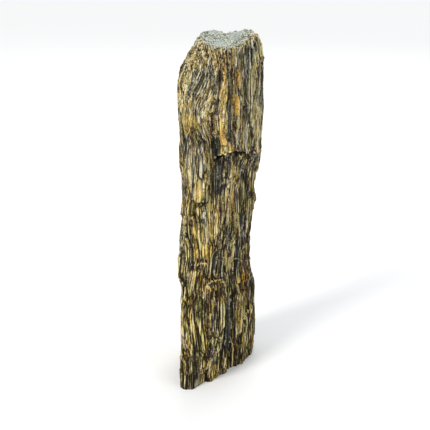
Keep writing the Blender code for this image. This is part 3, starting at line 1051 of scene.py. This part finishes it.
def rodTone(group, cells, noises, painted):
    # from the darkest gaps at 0 to the brightest edges at 1
    levels = {name: centred(group, cells[name]["level"]) for name in rodLayers}
    rods = weighted(group, *((levels[name], share) for name, share in looks["tones"].items()),
                    (noises["streak"], looks["streak"]))
    grains = weighted(group, (levels["crumb"], looks["crumbTone"]), (levels["rod"], looks["tones"]["rod"]))
    tone = times(group, blend(group, painted["crumb"], rods, grains), painted["contrast"])
    even = times(group, painted["whole"], looks["wholeEven"])
    tone = times(group, tone, maths(group, "SUBTRACT", 1.0, even))
    tone = weighted(group, (tone, 1.0), (noises["speck"], looks["speck"]),
                    (painted["light"], 1.0), (looks["middle"], 1.0))
    tone = times(group, tone, gapShadeAndMinerals(group, cells, painted))
    # painted highlight on a flake's lit lip and painted shadow under an overhang's lip
    for name, (begins, ends, amount) in looks["lips"].items():
        begun = mapRange(group, painted["lip"], *begins)
        band = times(group, begun, mapRange(group, painted["lip"], *ends, 1, 0))
        tone = maths(group, "MULTIPLY_ADD", times(group, band, painted[name]), amount, tone)
    return tone


def rodColour(group, cells, tone, painted):
    # each rod and grain is gold unless its draw gives it another colour
    crumbled, rust = painted["crumb"], painted["rust"]
    olive = blend(group, crumbled, cells["splinter"]["hue"], cells["crumb"]["hue"])
    tan = blend(group, crumbled, cells["fibre"]["hue"], cells["crumb"]["pick"])
    rusty = blend(group, crumbled, cells["splinter"]["pick"], cells["crumb"]["lean"])
    draws = {"olive": weighted(group, (olive, 1.0), (rust, looks["rustOlive"])),
             "tan": maths(group, "MULTIPLY_ADD", painted["whole"], looks["wholeTan"], tan),
             "grey": maths(group, "ADD", cells["rod"]["hue"], painted["grey"]),
             "rust": weighted(group, (rusty, looks["rustDraw"]), (rust, 1.0))}
    colour = ramp(group, tone, palette["gold"])
    for name, draw in draws.items():
        shown = mapRange(group, draw, *looks["chances"][name])
        colour = mixColour(group, shown, colour, ramp(group, tone, palette[name]))
    violet = times(group, mapRange(group, tone, *looks["gapTone"]),
                   mapRange(group, cells["rod"]["pick"], *looks["gapDraw"]))
    colour = mixColour(group, violet, colour, (*linear(palette["gap"]), 1))
    richer = {"Color": colour, "Saturation": painted["rich"]}
    return addNode(group, "ShaderNodeHueSaturation", richer).outputs[0]


def freshColour(group, cells, noises, painted):
    contrast = mapRange(group, noises["broad"], *freshLooks["contrast"])
    contrast = blend(group, painted["plain"], contrast, freshLooks["plainContrast"])
    grains = weighted(group, (noises["crystal"], freshLooks["crystal"]),
                      (centred(group, cells["crumb"]["level"]), freshLooks["grains"]))
    tone = weighted(group, (times(group, grains, contrast), 1.0),
                    (noises["broad"], freshLooks["broad"]), (freshLooks["middle"], 1.0))
    dark = mapRange(group, times(group, cells["crumb"]["pick"], contrast), *freshLooks["darkGrains"])
    grainy = ramp(group, times(group, tone, dark), palette["fresh"])
    smooth = times(group, painted["plain"], freshLooks["smooth"])
    return mixColour(group, smooth, grainy, ramp(group, tone, palette["smooth"]))


def fineBump(group, cells, noises, painted):
    # the fibres, where the stone isn't crumbled, and the finest grain
    fibres = times(group, rodHeight(group, cells["fibre"], rodLayers["fibre"]),
                   maths(group, "SUBTRACT", 1.0, painted["crumb"]))
    grains = ((noises[name], height) for name, height in looks["bumps"].items())
    fine = weighted(group, (fibres, 1.0), *grains)
    inputs = {"Height": fine, "Strength": looks["bump"], "Distance": 1.0}
    return addNode(group, "ShaderNodeBump", inputs).outputs[0]


def stoneMaterial():
    material = bpy.data.materials.new("bandedGneiss")
    material.use_nodes = True
    group = material.node_tree
    shader = group.nodes["Principled BSDF"]
    grain = attribute(group, "grain", "Vector")
    painted = {name: attribute(group, name) for name in paintedNames}
    cells = {name: rodCells(group, grain, layer) for name, layer in rodLayers.items()}
    noises = {name: grainNoise(group, grain, *size) for name, size in looks["noises"].items()}
    tone = rodTone(group, cells, noises, painted)
    colour = mixColour(group, painted["fresh"], rodColour(group, cells, tone, painted),
                       freshColour(group, cells, noises, painted))
    group.links.new(colour, shader.inputs["Base Color"])
    group.links.new(mapRange(group, tone, 0, 1, *looks["roughness"]), shader.inputs["Roughness"])
    group.links.new(fineBump(group, cells, noises, painted), shader.inputs["Normal"])
    shader.inputs["Specular IOR Level"].default_value = looks["specular"]
    return material


tree = solidSurface(solid)
stone = makeBlank()
print("blank made,", len(stone.data.vertices), "points")
share = wrapBlank(stone, tree)
print("blank wrapped on the solid")
softenFacets(stone)
print("facets softened")
base = pointsOf(stone)
outward = outwardOf(stone)
place, push, shade, lips = cutBreaks(stone)
push = pushRods(base, push)
paintRegions(stone, base, share, shade, lips)
store(stone, "grain", grainOf(base), "FLOAT_VECTOR")
store(stone, "outward", outward, "FLOAT_VECTOR")
movePoints(stone, place + outward * push[:, None])
print("breaks and flakes cut")
raiseRods(stone)
keepInBox(stone)
print("rods raised,", sum(len(p.vertices) - 2 for p in stone.data.polygons), "triangles")
stone.data.materials.clear()
stone.data.materials.append(stoneMaterial())
print("stone coloured")

studio = {
    "cameraPlace": (-0.0131, -2.124, 1.229),
    "cameraDown": 21,        # degrees below level
    "lens": 78.53,
    "floorSize": 60,
    "floorColour": (0.86, 0.86, 0.85, 1),
    "floorRoughness": 0.9,
    "worldColour": (0.94, 0.96, 1.0, 1),
    "worldStrength": 0.72,
}

softLights = {
    # kind, place, power, colour, size: the sun's is an angle
    "key": ("SUN", (-1.9, -1.9, 2.5), 2.1, (1.0, 0.985, 0.955), 0.30),
    "fill": ("AREA", (2.3, -1.9, 1.6), 24, (0.97, 0.985, 1.0), 2.0),
    "back": ("AREA", (0.5, 2.4, 2.6), 40, (1.0, 1.0, 1.0), 2.0),
}


def makeStudio():
    deselectAll()
    bpy.ops.mesh.primitive_plane_add(size=studio["floorSize"])
    floor = bpy.context.object
    floor.name = "studioFloor"
    paper = bpy.data.materials.new("paleFloor")
    paper.use_nodes = True
    finish = paper.node_tree.nodes["Principled BSDF"].inputs
    finish["Base Color"].default_value = studio["floorColour"]
    finish["Roughness"].default_value = studio["floorRoughness"]
    floor.data.materials.append(paper)
    world = bpy.data.worlds.new("studioWorld")
    bpy.context.scene.world = world
    world.use_nodes = True
    sky = world.node_tree.nodes["Background"].inputs
    sky["Color"].default_value = studio["worldColour"]
    sky["Strength"].default_value = studio["worldStrength"]
    aim = Vector((0, 0, blank["height"] / 2))
    for name, (kind, place, power, colour, size) in softLights.items():
        bpy.ops.object.light_add(type=kind, location=place)
        lamp = bpy.context.object
        lamp.name = name + "Light"
        if kind == "SUN":
            lamp.data.angle = size
        else:
            lamp.data.size = size
        lamp.data.energy = power
        lamp.data.color = colour
        lamp.rotation_euler = (aim - lamp.location).to_track_quat("-Z", "Y").to_euler()
    bpy.ops.object.camera_add(location=studio["cameraPlace"],
                              rotation=(math.radians(90 - studio["cameraDown"]), 0, 0))
    camera = bpy.context.object
    camera.data.lens = studio["lens"]
    bpy.context.scene.camera = camera
    bpy.context.scene.view_settings.view_transform = "Standard"


makeStudio()
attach(stone, "root")
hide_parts("gneiss_monolith")
